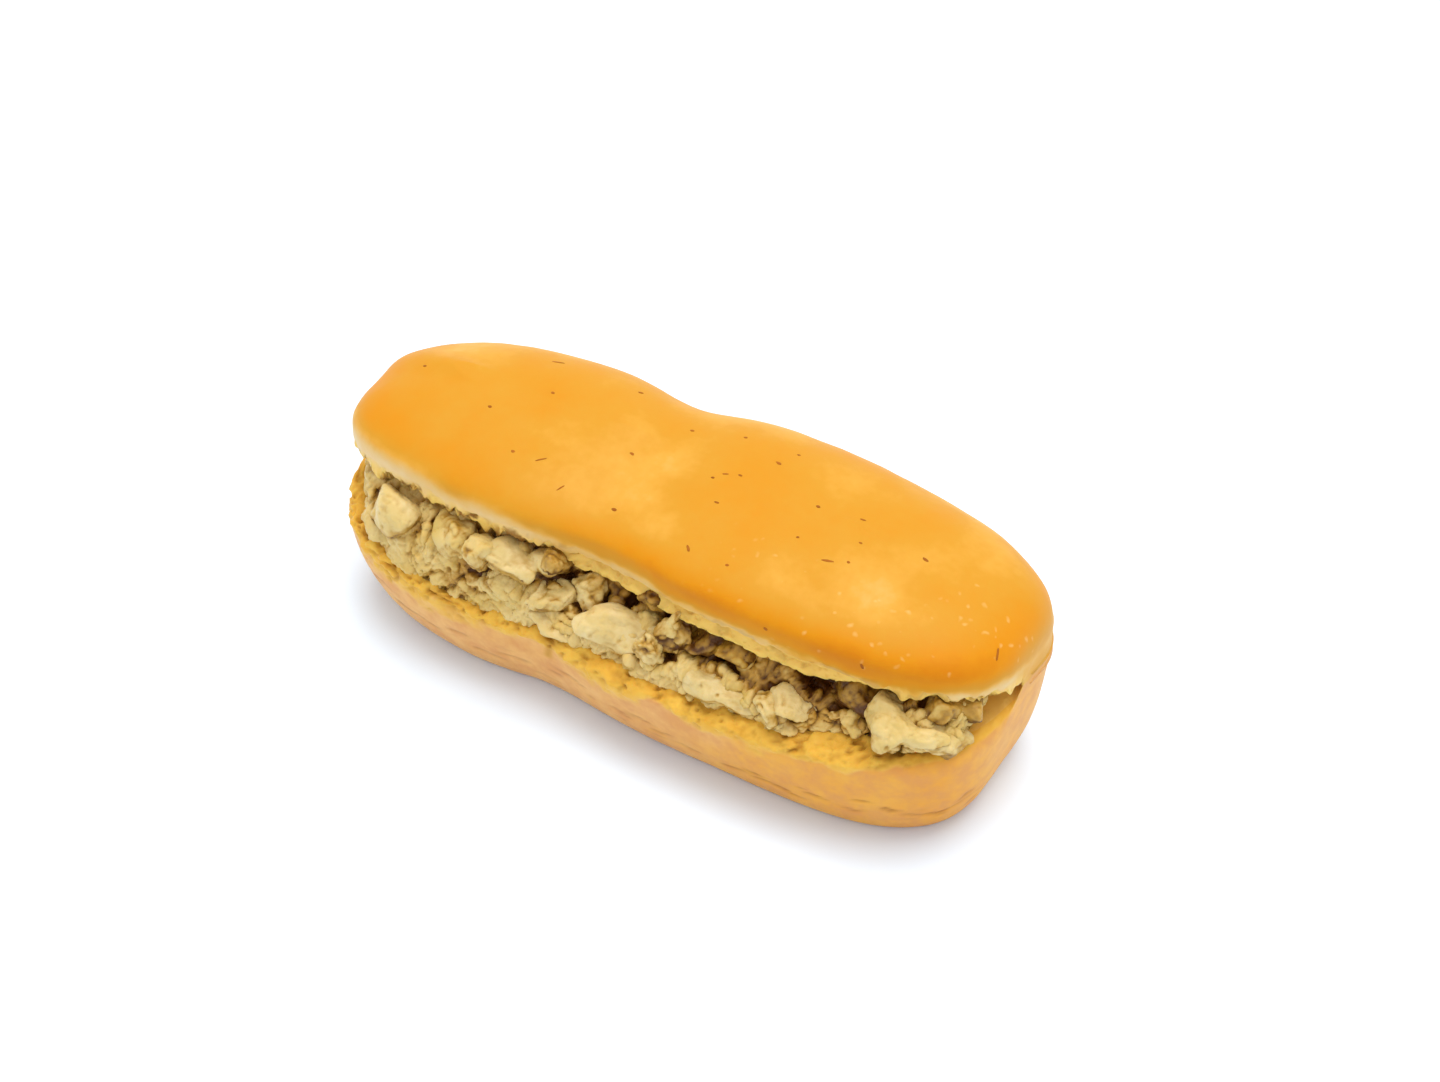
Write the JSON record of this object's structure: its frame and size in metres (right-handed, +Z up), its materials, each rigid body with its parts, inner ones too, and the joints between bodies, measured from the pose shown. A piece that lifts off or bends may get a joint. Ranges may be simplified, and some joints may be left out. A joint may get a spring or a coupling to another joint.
{
  "type": "bread roll",
  "caption": "Long soft bread roll, slit from the front and opened on its uncut back, filled with chopped chicken in a thick dressing.",
  "frame": {"origin": "centre of the bounding box's bottom face, on the surface that the roll rests on", "axes": "+X along the length of the roll towards the end where the slit dies out, +Y towards the uncut back, +Z up; the filling shows on -Y"},
  "size_m": [0.16, 0.07, 0.054],
  "materials": {
    "bread": "soft baked crust, satin gold on the crown, paler on the heel, yellow crumb on the cut faces",
    "dressing": "thick creamy yellow-green dressing, moist",
    "chicken": "cooked white meat coated in dressing, moist"
  },
  "bodies": {
    "root": {"roll": "bread", "filling_bed": "dressing", "chicken_piece_01": "chicken", "chicken_piece_02": "chicken", "chicken_piece_03": "chicken", "chicken_piece_04": "chicken", "chicken_piece_05": "chicken", "chicken_piece_06": "chicken", "chicken_piece_07": "chicken", "chicken_piece_08": "chicken", "chicken_piece_09": "chicken", "chicken_piece_10": "chicken", "chicken_piece_11": "chicken", "chicken_piece_12": "chicken", "chicken_piece_13": "chicken", "chicken_piece_14": "chicken", "chicken_piece_15": "chicken", "chicken_piece_16": "chicken", "chicken_piece_17": "chicken", "chicken_piece_18": "chicken", "chicken_piece_19": "chicken", "chicken_piece_20": "chicken", "chicken_piece_21": "chicken", "chicken_piece_22": "chicken", "chicken_piece_23": "chicken", "chicken_piece_24": "chicken", "chicken_piece_25": "chicken"}
  },
  "joints": []
}
